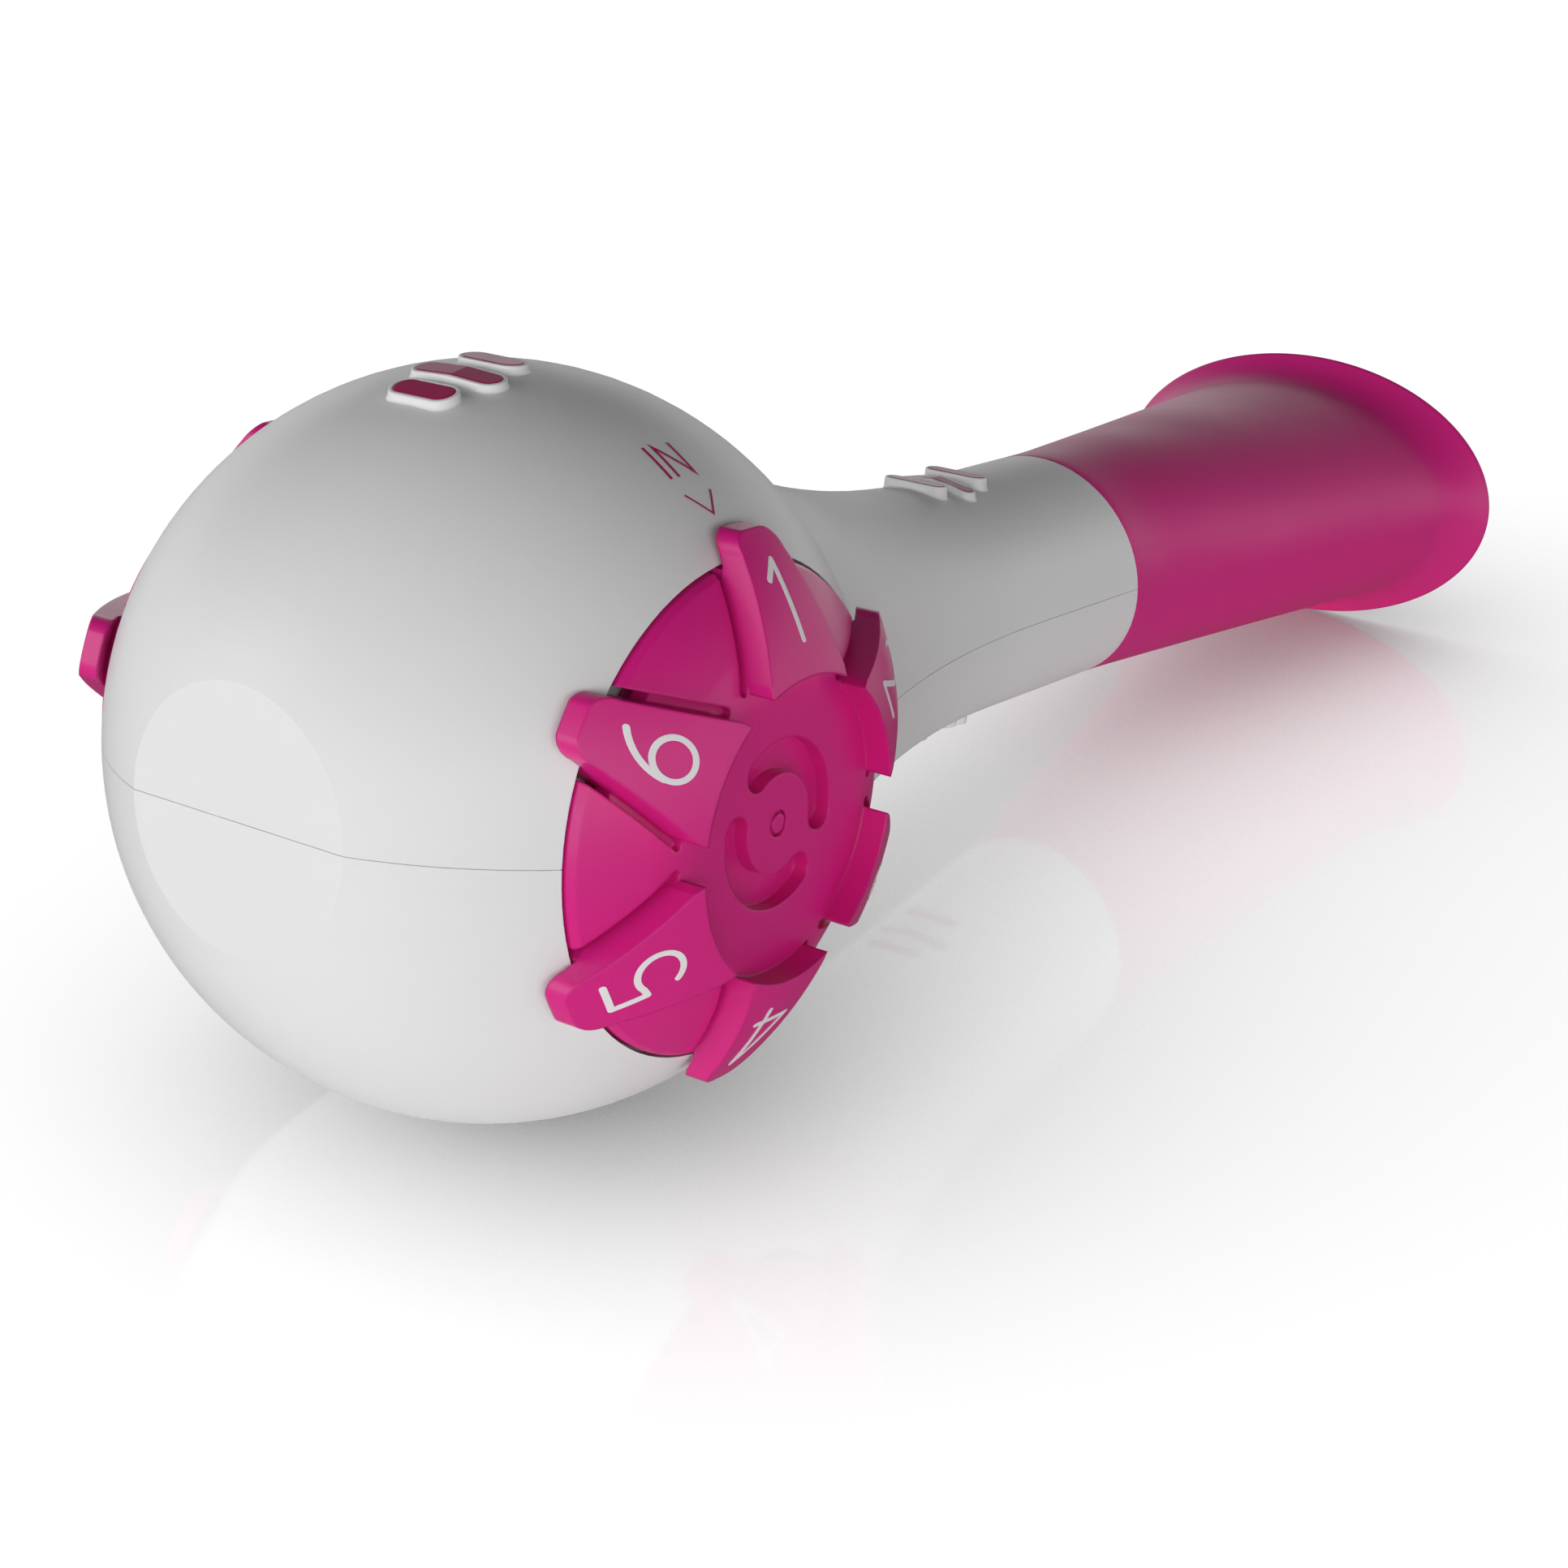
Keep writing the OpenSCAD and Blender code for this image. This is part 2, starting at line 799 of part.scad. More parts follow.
// One arc recess, centred on turn: a flat sector of a ring with a disc at each end
module arc_plan(turn) {
    rotate(turn - arc_sweep / 2) {
        ring_sector();
        for (end = [0, arc_sweep])
            rotate(end)
                translate([(arc_in_r + arc_out_r) / 2, 0])
                    circle(r = (arc_out_r - arc_in_r) / 2 + arc_end_out);
    }
}

module ring_sector() {
    reach = 2 * arc_out_r;
    half = arc_sweep / 2;
    intersection() {
        difference() {
            circle(r = arc_out_r);
            circle(r = arc_in_r);
        }
        polygon([
            [0, 0],
            [reach, 0],
            reach * [cos(half), sin(half)],
            reach * [cos(arc_sweep), sin(arc_sweep)]
        ]);
    }
}

module hub_arcs() {
    face_on(hub_x - arc_t, hub_x + overrun) {
        arc_plan(arc_turn);
        arc_plan(arc_turn + 180);
    }
}

module boss_key(gap) {
    face_on(disc_x, hub_inner_x + overrun)
        translate([-key_w / 2 - gap, 0])
            square([key_w + 2 * gap, boss_r + key_l + gap]);
}

module dial(count) {
    difference() {
        union() {
            difference() {
                turned_on_x()
                    dial_outline();
                dial_hollow();
                grooves(count);
                hub_arcs();
            }
            paddles(count);
            intersection() {
                boss_key(0);
                disc_on_x(boss_r + key_l, disc_x, hub_inner_x + overrun);
            }
        }
        disc_on_x(pin_r + fit_gap, skirt_x - overrun, hub_x + overrun);
    }
    dial_boss_foot();
}

// The boss goes on past the skirt, down to the plate
module dial_boss_foot() {
    difference() {
        disc_on_x(boss_r, disc_x, skirt_x + overrun);
        disc_on_x(pin_r + fit_gap, disc_x - overrun, skirt_x + 2 * overrun);
    }
}

module axle_pin() {
    head_x = plate_in_x - boss_l - loose_gap;
    disc_on_x(pin_r, head_x - pin_head_t, hub_x - pin_ring_t);
    disc_on_x(pin_r - pin_ring_w, head_x, hub_x);
    disc_on_x(pin_head_r, head_x - pin_head_t, head_x);
}

module orifice_disc(count) {
    difference() {
        disc_on_x(disc_r, disc_x, disc_x + disc_t);
        disc_on_x(boss_r + loose_gap, disc_x - overrun, disc_x + disc_t + overrun);
        boss_key_slot();
        for (i = [0 : count - 1])
            rotate([-360 * i / count, 0, 0])
                translate([0, 0, port_ring_r])
                    disc_on_x(
                        hole_max_r + (hole_min_r - hole_max_r) * i / (count - 1),
                        disc_x - overrun,
                        disc_x + disc_t + overrun
                    );
    }
}

module boss_key_slot() {
    face_on(disc_x - overrun, disc_x + disc_t + overrun)
        translate([-key_w / 2 - loose_gap, 0])
            square([key_w + 2 * loose_gap, boss_r + key_l + loose_gap]);
}

// Fixed plate with its port, the pin's boss and the collar for the cage
module port_plate(exhale) {
    difference() {
        union() {
            disc_on_x(plate_r, plate_in_x, plate_x);
            disc_on_x(boss_r, plate_in_x - boss_l, plate_in_x + overrun);
            translate([0, 0, port_ring_r])
                difference() {
                    disc_on_x(cage_r + fit_gap + collar_w, plate_in_x - collar_h, plate_in_x + overrun);
                    disc_on_x(cage_r + fit_gap, plate_in_x - collar_h - overrun, plate_in_x);
                }
            if (!exhale)
                translate([0, 0, port_ring_r])
                    disc_on_x(port_r + seat_w, plate_in_x - seat_h, plate_in_x + overrun);
        }
        disc_on_x(pin_r + fit_gap, plate_in_x - boss_l - overrun, plate_x + overrun);
        translate([0, 0, port_ring_r]) {
            if (exhale)
                barred_port();
            else
                disc_on_x(port_r, plate_in_x - seat_h - overrun, plate_x + overrun);
            disc_on_x(port_r + seal_lip_w + fit_gap, plate_x - seal_depth, plate_x + overrun);
        }
    }
}

// A port crossed by two bars, which stop the flap
module barred_port() {
    difference() {
        disc_on_x(port_r, plate_in_x - overrun, plate_x + overrun);
        for (turn = [45, 135])
            rotate([turn, 0, 0])
                translate([plate_in_x - overrun, -spoke_w / 2, -2 * port_r])
                    cube([plate_t - seal_depth + overrun, spoke_w, 4 * port_r]);
    }
}

module port_seal() {
    translate([0, 0, port_ring_r])
        difference() {
            disc_on_x(port_r + seal_lip_w, plate_x - seal_depth, plate_x + seal_proud);
            disc_on_x(port_r, plate_x - seal_depth - overrun, plate_x + overrun);
        }
}

// Cup that keeps the flap: its floor is the seat on the exhale side, and has four windows on the inhale side
module valve_cage(exhale) {
    floor_x = plate_in_x - cage_l;
    translate([0, 0, port_ring_r])
        difference() {
            union() {
                difference() {
                    disc_on_x(cage_r, floor_x, plate_in_x);
                    disc_on_x(cage_in_r, floor_x + cage_floor_t, plate_in_x + overrun);
                }
                if (exhale)
                    disc_on_x(port_r + seat_w, floor_x, floor_x + cage_floor_t + seat_h);
            }
            if (exhale)
                disc_on_x(port_r, floor_x - overrun, plate_in_x);
            else
                cage_windows(floor_x);
        }
}

module cage_windows(floor_x) {
    difference() {
        disc_on_x(flap_r - seat_w, floor_x - overrun, floor_x + cage_floor_t + overrun);
        disc_on_x(port_r / 2, floor_x - 2 * overrun, floor_x + cage_floor_t + 2 * overrun);
        for (turn = [0, 90])
            rotate([turn, 0, 0])
                translate([floor_x - 2 * overrun, -spoke_w / 2, -cage_r])
                    cube([cage_floor_t + 4 * overrun, spoke_w, 2 * cage_r]);
    }
}

module valve_flap(exhale) {
    out_x = plate_in_x - seat_h - flap_t - fit_gap;
    in_x = plate_in_x - cage_l + cage_floor_t + seat_h + fit_gap;
    rest_x = exhale ? in_x : out_x;
    translate([0, 0, port_ring_r])
        disc_on_x(flap_r, rest_x, rest_x + flap_t);
}

// Numerals, drawn in a square of side 1 round their own middle and scaled to their height

module stroke(from, to) {
    run = to - from;
    w = numeral_w / numeral_h;
    translate(from)
        rotate(atan2(run.y, run.x))
            translate([0, -w / 2])
                square([norm(run), w]);
    for (end = [from, to])
        translate(end)
            circle(r = w / 2);
}

module bow(centre, r, turn_from, turn_to) {
    w = numeral_w / numeral_h;
    third = (turn_to - turn_from) / 3;
    translate(centre) {
        intersection() {
            difference() {
                circle(r = r + w / 2);
                circle(r = r - w / 2);
            }
            polygon([
                [0, 0],
                for (i = [0 : 3]) 2 * [cos(turn_from + i * third), sin(turn_from + i * third)]
            ]);
        }
        for (end = [turn_from, turn_to])
            translate(r * [cos(end), sin(end)])
                circle(r = w / 2);
    }
}

// Bows of the numerals from one to six, each with its centre, radius and two turns in degrees
numeral_bow_shares = [
    [],
    [[[0, 0.22], 0.28, -40, 165]],
    [[[0, 0.26], 0.24, -90, 150], [[0, -0.22], 0.28, -150, 90]],
    [],
    [[[0.03, -0.2], 0.3, -146, 118]],
    [[[0.43, -0.2], 0.71, 112, 178], [[0.02, -0.21], 0.29, -90, 120], [[0.02, -0.21], 0.29, 120, 270]]
];

function bow_end(bow_share, turn) = bow_share[0] + bow_share[1] * [cos(turn), sin(turn)];

two_start = bow_end(numeral_bow_shares[1][0], numeral_bow_shares[1][0][2]);
five_end = bow_end(numeral_bow_shares[4][0], numeral_bow_shares[4][0][3]);

// Their strokes, each with its two ends
numeral_stroke_shares = [
    [[[-0.2, 0.28], [0.03, 0.5]], [[0.03, 0.5], [0.03, -0.5]]],
    [[two_start, [-0.33, -0.5]], [[-0.33, -0.5], [0.3, -0.5]]],
    [],
    [[[0.17, 0.5], [-0.37, -0.29]], [[-0.37, -0.29], [0.35, -0.29]], [[0.17, 0.5], [0.17, -0.5]]],
    [[[0.22, 0.48], [-0.2, 0.48]], [[-0.2, 0.48], [-0.235, 0.04]], [[-0.235, 0.04], five_end]],
    []
];

module numeral(value) {
    for (ends = numeral_stroke_shares[value - 1])
        stroke(ends[0], ends[1]);
    for (turn = numeral_bow_shares[value - 1])
        bow(turn[0], turn[1], turn[2], turn[3]);
}

// All numerals of one dial, printed on the paddles' tops
module numerals(count) {
    intersection() {
        turned_on_x()
            difference() {
                intersection() {
                    circle(r = top_r + print_t);
                    square(2 * ball_r);
                }
                circle(r = top_r);
            }
        for (i = [0 : count - 1])
            rotate([-360 * i / count, 0, 0])
                face_on(0, 2 * ball_r)
                    translate([0, numeral_at_r])
                        scale(numeral_h)
                            numeral(i + 1);
    }
}

// The two sides

module inhale_dial() {
    color(dial_magenta)
        at_rest()
            dial(inhale_settings);
}

module exhale_dial() {
    color(dial_magenta)
        at_rest()
            on_side(true)
                dial(exhale_settings);
}

module inhale_numerals() {
    color(print_white)
        at_rest()
            numerals(inhale_settings);
}

module exhale_numerals() {
    color(print_white)
        at_rest()
            on_side(true)
                numerals(exhale_settings);
}

module inhale_axle_pin() {
    color(dial_magenta)
        at_rest()
            axle_pin();
}

module exhale_axle_pin() {
    color(dial_magenta)
        at_rest()
            on_side(true)
                axle_pin();
}

module inhale_orifice_disc() {
    color(dial_magenta)
        at_rest()
            orifice_disc(inhale_settings);
}

module exhale_orifice_disc() {
    color(dial_magenta)
        at_rest()
            on_side(true)
                orifice_disc(exhale_settings);
}

module inhale_port_plate() {
    color(shell_white)
        at_rest()
            port_plate(false);
}

module exhale_port_plate() {
    color(shell_white)
        at_rest()
            on_side(true)
                port_plate(true);
}

module inhale_port_seal() {
    color(seal_grey)
        at_rest()
            port_seal();
}

module exhale_port_seal() {
    color(seal_grey)
        at_rest()
            on_side(true)
                port_seal();
}

module inhale_valve_flap() {
    color(flap_clear)
        at_rest()
            valve_flap(false);
}

module exhale_valve_flap() {
    color(flap_clear)
        at_rest()
            on_side(true)
                valve_flap(true);
}

module inhale_valve_cage() {
    color(shell_white)
        at_rest()
            valve_cage(false);
}

module exhale_valve_cage() {
    color(shell_white)
        at_rest()
            on_side(true)
                valve_cage(true);
}

upper_shell();
lower_shell();
neck_sleeve();
mouthpiece_seal();
mouthpiece();
ball_grip_top();
neck_grip_top();
neck_grip_bottom();
inhale_dial();
inhale_numerals();
inhale_axle_pin();
inhale_orifice_disc();
inhale_port_plate();
inhale_port_seal();
inhale_valve_flap();
inhale_valve_cage();
exhale_dial();
exhale_numerals();
exhale_axle_pin();
exhale_orifice_disc();
exhale_port_plate();
exhale_port_seal();
exhale_valve_flap();
exhale_valve_cage();
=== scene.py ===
# Looks for a breathing trainer that lies on a pale floor: its plastics and rubbers, the mouthpiece,
# the grip bars, the print on the ball, then the floor, the light and the camera.
import json
from math import asin, atan2, cos, hypot, pi, radians, sin, sqrt, tan

import bmesh
import bpy
from mathutils import Matrix, Vector


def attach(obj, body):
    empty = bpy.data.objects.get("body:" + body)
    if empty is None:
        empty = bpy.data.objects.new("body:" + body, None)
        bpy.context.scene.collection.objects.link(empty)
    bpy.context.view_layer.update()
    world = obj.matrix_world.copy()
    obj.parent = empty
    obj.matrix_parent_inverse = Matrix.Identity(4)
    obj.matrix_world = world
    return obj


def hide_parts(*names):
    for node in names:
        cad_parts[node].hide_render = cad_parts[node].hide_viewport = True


mm = 0.001

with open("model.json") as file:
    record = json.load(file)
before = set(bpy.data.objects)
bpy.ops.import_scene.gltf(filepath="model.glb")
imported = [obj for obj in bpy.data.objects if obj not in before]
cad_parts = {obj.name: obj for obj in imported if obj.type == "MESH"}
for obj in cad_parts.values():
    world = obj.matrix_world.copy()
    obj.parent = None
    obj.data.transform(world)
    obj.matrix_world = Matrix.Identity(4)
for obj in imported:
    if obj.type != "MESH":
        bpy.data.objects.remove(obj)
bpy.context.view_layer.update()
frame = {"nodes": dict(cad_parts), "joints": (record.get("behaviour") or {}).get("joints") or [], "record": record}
scene = bpy.context.scene
print("frame loaded")

# The part is drawn round the ball's centre, with the neck along +Y, and then laid down on ball and rim.
jointByName = {joint["name"]: joint for joint in frame["joints"]}
neckAxis = Vector(jointByName["mouthpiece_pull"]["axis"])
ballCentre = Vector(jointByName["inhale_dial_turn"]["pos_m"])
ballCentre.x = 0
restTilt = atan2(-neckAxis.z, neckAxis.y)
laidDown = Matrix.Translation(ballCentre) @ Matrix.Rotation(-restTilt, 4, "X")

# the shell's main sizes in millimetres, which the mouthpiece, the grip bars and the print follow
ballShape = dict(radius=30.0)
neckShape = dict(radius=11.4, sweep=112.0, waistY=66.0)


# Small helpers

plainWhite = (1, 1, 1, 1)


def linearFromHex(hexColour):
    # sRGB hex to the linear values that a shader takes
    text = hexColour.lstrip("#")
    values = [int(text[i:i + 2], 16) / 255 for i in (0, 2, 4)]
    return [v / 12.92 if v <= 0.04045 else ((v + 0.055) / 1.055) ** 2.4 for v in values] + [1.0]


def addNode(tree, kind, inputs=None, **settings):
    # an input may be a plain value or another node's output, which is then linked
    node = tree.nodes.new(kind)
    for name, value in settings.items():
        setattr(node, name, value)
    for name, value in (inputs or {}).items():
        if isinstance(value, bpy.types.NodeSocket):
            tree.links.new(value, node.inputs[name])
        else:
            node.inputs[name].default_value = value
    return node


def meshPiece(name, points, faces, material, body, sharpAngle=35, flat=()):
    # Points are in millimetres round the ball's centre; the piece is laid down with the part.
    # Edges sharper than sharpAngle stay crisp, and the faces listed in flat aren't smoothed.
    mesh = bpy.data.meshes.new(name)
    mesh.from_pydata([laidDown @ (Vector(p) * mm) for p in points], [], faces)
    mesh.validate()
    tidy = bmesh.new()
    tidy.from_mesh(mesh)
    bmesh.ops.recalc_face_normals(tidy, faces=tidy.faces)
    tidy.to_mesh(mesh)
    tidy.free()
    mesh.polygons.foreach_set("use_smooth", [True] * len(mesh.polygons))
    mesh.set_sharp_from_angle(angle=radians(sharpAngle))
    for index in flat:
        mesh.polygons[index].use_smooth = False
    mesh.materials.append(material)
    piece = bpy.data.objects.new(name, mesh)
    scene.collection.objects.link(piece)
    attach(piece, body)
    return piece


def loftFaces(ringCount, perRing, closedLoop=False, first=0):
    # four-cornered faces between rings of points; closedLoop joins the last ring to the first one
    faces = []
    for j in range(ringCount if closedLoop else ringCount - 1):
        k = (j + 1) % ringCount
        for i in range(perRing):
            n = (i + 1) % perRing
            faces.append([first + j * perRing + i, first + j * perRing + n,
                          first + k * perRing + n, first + k * perRing + i])
    return faces


# Materials

# What every moulding here shares. The real grain of a spark-eroded tool is near 0.05 mm, too fine to show,
# so each material below draws it four to six times as coarse.
typicalMoulding = dict(
    grainDetail=2.0, grainRoughness=0.6, flowDetail=3.0, flowRoughness=0.55, flowLow=0.3, flowHigh=0.7,
    edgeSamples=6, depthShare=0.0, depthRadius=(1.0, 1.0, 1.0), depthMm=0.6)


def mouldedPlastic(name, look):
    # Injection-moulded plastic: an even base colour, a fine spark-eroded grain from the mould,
    # a faint flow mottle, and edges that the mould's radius rounds off. The rubbers and the inks take
    # the same make-up with values of their own.
    look = {**typicalMoulding, **look}
    material = bpy.data.materials.new(name)
    material.use_nodes = True
    tree = material.node_tree
    tree.nodes.clear()
    place = addNode(tree, "ShaderNodeTexCoord")
    grain = addNode(tree, "ShaderNodeTexNoise", {
        "Vector": place.outputs["Object"], "Scale": 1 / (look["grainMm"] * mm),
        "Detail": look["grainDetail"], "Roughness": look["grainRoughness"]})
    flow = addNode(tree, "ShaderNodeTexNoise", {
        "Vector": place.outputs["Object"], "Scale": 1 / (look["flowMm"] * mm),
        "Detail": look["flowDetail"], "Roughness": look["flowRoughness"]})
    # the colour inputs of a Mix node share their names with the float ones, so they go by place
    tint = addNode(tree, "ShaderNodeMix", {
        0: flow.outputs["Fac"], 6: linearFromHex(look["colour"]), 7: linearFromHex(look["mottle"])},
        data_type="RGBA")
    polish = addNode(tree, "ShaderNodeMapRange", {
        "Value": flow.outputs["Fac"], "From Min": look["flowLow"], "From Max": look["flowHigh"],
        "To Min": look["roughness"] - look["polishSpread"],
        "To Max": look["roughness"] + look["polishSpread"]})
    edge = addNode(tree, "ShaderNodeBevel", {"Radius": look["edgeMm"] * mm}, samples=look["edgeSamples"])
    skin = addNode(tree, "ShaderNodeBump", {
        "Height": grain.outputs["Fac"], "Normal": edge.outputs["Normal"],
        "Strength": look["grainStrength"], "Distance": look["grainDepthMm"] * mm})
    surface = addNode(tree, "ShaderNodeBsdfPrincipled", {
        "Base Color": tint.outputs[2], "Roughness": polish.outputs["Result"],
        "Normal": skin.outputs["Normal"], "IOR": look["ior"],
        "Subsurface Weight": look["depthShare"], "Subsurface Radius": look["depthRadius"],
        "Subsurface Scale": look["depthMm"] * mm})
    addNode(tree, "ShaderNodeOutputMaterial", {"Surface": surface.outputs["BSDF"]})
    return material


# White ABS, moulded against a fine spark-eroded tool: satin, with a soft broad highlight
whiteAbs = mouldedPlastic("moulded_white_abs", dict(
    colour="#EBEBEB", mottle="#E7E7E8", grainMm=0.22, flowMm=14, roughness=0.36, polishSpread=0.03,
    grainStrength=0.35, grainDepthMm=0.02, edgeMm=0.06, ior=1.53))
# Magenta ABS, moulded glossier than the ball: clear highlights on the paddles' rounded edges
magentaAbs = mouldedPlastic("moulded_magenta_abs", dict(
    colour="#DF1F88", mottle="#DA1D83", grainMm=0.3, flowMm=9, roughness=0.3, polishSpread=0.03,
    grainStrength=0.16, grainDepthMm=0.02, edgeMm=0.3, ior=1.53))
# Magenta polypropylene of the mouthpiece: softer satin, so that grazing light turns it greyish
magentaPp = mouldedPlastic("moulded_magenta_polypropylene", dict(
    colour="#DA2686", mottle="#D52382", grainMm=0.26, flowMm=16, roughness=0.4, polishSpread=0.04,
    grainStrength=0.3, grainDepthMm=0.02, edgeMm=0.15, ior=1.5))
# Magenta thermoplastic elastomer of the grip bars: smooth faces that show a sheen
magentaTpe = mouldedPlastic("moulded_magenta_elastomer", dict(
    colour="#B4145F", mottle="#AF135C", grainMm=0.3, flowMm=8, roughness=0.3, polishSpread=0.03,
    grainStrength=0.12, grainDepthMm=0.015, edgeMm=0.08, ior=1.5))
# White pad-printing ink of the numerals: flat and even, a shade brighter than the plastic
printWhite = mouldedPlastic("pad_print_white", dict(
    colour="#F4F1F3", mottle="#EFEBEE", grainMm=0.2, flowMm=5, roughness=0.45, polishSpread=0.02,
    grainStrength=0.1, grainDepthMm=0.01, edgeMm=0.02, ior=1.5))
# Magenta pad-printing ink on the ball: a thin even film, a shade deeper than the dials
printMagenta = mouldedPlastic("pad_print_magenta", dict(
    colour="#BE1766", mottle="#B91564", grainMm=0.2, flowMm=5, roughness=0.42, polishSpread=0.02,
    grainStrength=0.1, grainDepthMm=0.01, edgeMm=0.02, ior=1.5))
# Grey nitrile rubber of the seals, pressed: matt, a little uneven
nitrileRubber = mouldedPlastic("pressed_nitrile_rubber", dict(
    colour="#57595E", mottle="#4E5054", grainMm=0.25, flowMm=4, roughness=0.62, polishSpread=0.06,
    grainStrength=0.3, grainDepthMm=0.03, edgeMm=0.1, ior=1.52))
# Milky silicone rubber of the flaps, moulded: light goes a little way in
milkySilicone = mouldedPlastic("moulded_silicone", dict(
    colour="#D2D6D9", mottle="#C9CED2", grainMm=0.3, flowMm=4, roughness=0.34, polishSpread=0.04,
    grainStrength=0.12, grainDepthMm=0.02, edgeMm=0.1, ior=1.41, depthShare=0.3))

materialOfSlot = {
    "shell_white": whiteAbs, "dial_magenta": magentaAbs, "grip_magenta": magentaTpe,
    "mouthpiece_magenta": magentaPp, "seal_rubber": nitrileRubber, "flap_silicone": milkySilicone,
    "print_white": printWhite}
slotOfNode = {part["node"]: part["material_slot"] for part in frame["record"]["subparts"]}
for nodeName, solid in frame["nodes"].items():
    material = materialOfSlot[slotOfNode[nodeName]]
    if not solid.material_slots:
        solid.data.materials.append(material)
    for entry in solid.material_slots:
        entry.material = material
print("materials set on", len(frame["nodes"]), "solids")


# Mouthpiece

mouthpieceShape = dict(
    jointY=84.2, slant=9.4, line=0.12, neckRadius=neckShape["radius"], ease=6, rimY=144.6,
    rimHalfWidth=22.8, rimHalfHeight=14.6, flareLength=6.5, flareRadius=10, wall=1.8,
    socketRadius=9.1, socketY=98.5, boreRadius=7.45, throat=14, edgeRound=0.18, sharpAngle=50,
    around=168, edgeRings=4, bodyRings=44, flareRings=22, lipRings=14)


def mouthHalf(shape, y, rimHalf):
    # half the outer width or height at y: eased out of the neck, then straight, then flared to the rim
    lipY = shape["rimY"] - shape["wall"] / 2
    flareY = lipY - shape["flareLength"]
    flareRadius = shape["flareRadius"]
    rise = flareRadius - sqrt(flareRadius ** 2 - shape["flareLength"] ** 2)
    past = y - shape["jointY"]
    ease = shape["ease"]
    eased = 0 if past < 0 else past * past / (2 * ease) if past < ease else past - ease / 2
    along = eased / (lipY - shape["jointY"] - ease / 2)
    flare = 0 if y < flareY else flareRadius - sqrt(flareRadius ** 2 - (y - flareY) ** 2)
    return shape["neckRadius"] + (rimHalf - rise - shape["neckRadius"]) * along + flare


def boreHalf(shape, y, rimHalf):
    # half the inner width or height at y: a round bore that opens out to an even wall
    past = min(max((y - shape["socketY"]) / shape["throat"], 0), 1)
    share = past * past * (3 - 2 * past)
    opened = mouthHalf(shape, y, rimHalf) - shape["wall"]
    return shape["boreRadius"] + (opened - shape["boreRadius"]) * share


def buildMouthpiece(shape):
    # one closed skin of rings: out along the outer side, over the lip and back down the bore
    w, h = shape["rimHalfWidth"], shape["rimHalfHeight"]
    lipR = shape["wall"] / 2
    lipY = shape["rimY"] - lipR
    flareY = lipY - shape["flareLength"]
    n = shape["around"]
    turns = [2 * pi * i / n for i in range(n)]
    slope = tan(radians(shape["slant"]))
    rings = []

    def slantedRing(y, share, halfW, halfH):
        # share 1 lies in the slanted joint, share 0 square to the neck
        return [(halfW * cos(t), y - share * slope * halfH * sin(t), halfH * sin(t)) for t in turns]

    # the rounded edge at the joint with the neck
    start = shape["jointY"] + shape["line"]
    edge = shape["edgeRound"]
    rings.append(slantedRing(start, 1, shape["socketRadius"], shape["socketRadius"]))
    for k in range(shape["edgeRings"] + 1):
        a = pi / 2 * k / shape["edgeRings"]
        r = shape["neckRadius"] - edge + edge * sin(a)
        rings.append(slantedRing(start + edge - edge * cos(a), 1, r, r))
    # the outer side, whose rings turn from slanted to square on the way
    for k in range(1, shape["bodyRings"]):
        u = k / shape["bodyRings"]
        y = start + edge + (flareY - start - edge) * u
        leans = [y - (1 - u) * slope * shape["neckRadius"] * sin(t) for t in turns]
        rings.append([(mouthHalf(shape, yy, w) * cos(t), yy, mouthHalf(shape, yy, h) * sin(t))
                      for t, yy in zip(turns, leans)])
    for k in range(shape["flareRings"]):
        y = flareY + (lipY - flareY) * k / shape["flareRings"]
        rings.append(slantedRing(y, 0, mouthHalf(shape, y, w), mouthHalf(shape, y, h)))
    # the round lip
    for k in range(shape["lipRings"] + 1):
        a = pi * k / shape["lipRings"]
        out = lipR * cos(a) - lipR
        rings.append(slantedRing(lipY + lipR * sin(a), 0, w + out, h + out))
    # the bore, back to the socket for the neck's sleeve
    for k in range(1, shape["flareRings"] + 1):
        y = lipY + (flareY - lipY) * k / shape["flareRings"]
        rings.append(slantedRing(y, 0, boreHalf(shape, y, w), boreHalf(shape, y, h)))
    for k in range(1, shape["bodyRings"] + 1):
        y = flareY + (shape["socketY"] - flareY) * k / shape["bodyRings"]
        rings.append(slantedRing(y, 0, boreHalf(shape, y, w), boreHalf(shape, y, h)))
    rings.append(slantedRing(shape["socketY"], 0, shape["socketRadius"], shape["socketRadius"]))
    points = [p for ring in rings for p in ring]
    return meshPiece("mouthpiece_body", points, loftFaces(len(rings), n, closedLoop=True),
                     magentaPp, "mouthpiece_body", sharpAngle=shape["sharpAngle"])


mouthpiece = buildMouthpiece(mouthpieceShape)
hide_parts("mouthpiece")
print("mouthpiece built")


# Grip bars: a smooth coloured face on a white foot that stands on the shell

# faceProfile runs up the face's side and in over its rounded edge: (out from the outline, up from the top).
# skirtProfile runs from beside the face out over the rim and down into the shell: (out, down from the top,
# share), where share 1 is the bar's top and share 0 the shell's own surface.
ballGrip = dict(
    middleY=-5.2, pitch=3.9, length=8.2, endShare=0.7, width=2.3, faceHeight=0.57, crease=0.055,
    slopeReach=0.5, tipSteps=14, sideSteps=12, sharpAngle=75,
    faceProfile=[(-0.1, -0.45), (-0.1, -0.12), (-0.12, -0.05), (-0.17, -0.01), (-0.24, 0.0)],
    skirtProfile=[
        (-0.11, 0.4, 1), (-0.09, 0.04, 1), (-0.02, 0.02, 1), (0.06, 0.02, 1), (0.13, 0.04, 1),
        (0.18, 0.06, 1), (0.21, 0.06, 0.86), (0.225, 0.1, 0.55), (0.245, 0.1, 0.25),
        (0.28, 0.1, 0.08), (0.34, 0.1, 0.0), (0.4, 0.1, -0.1)])
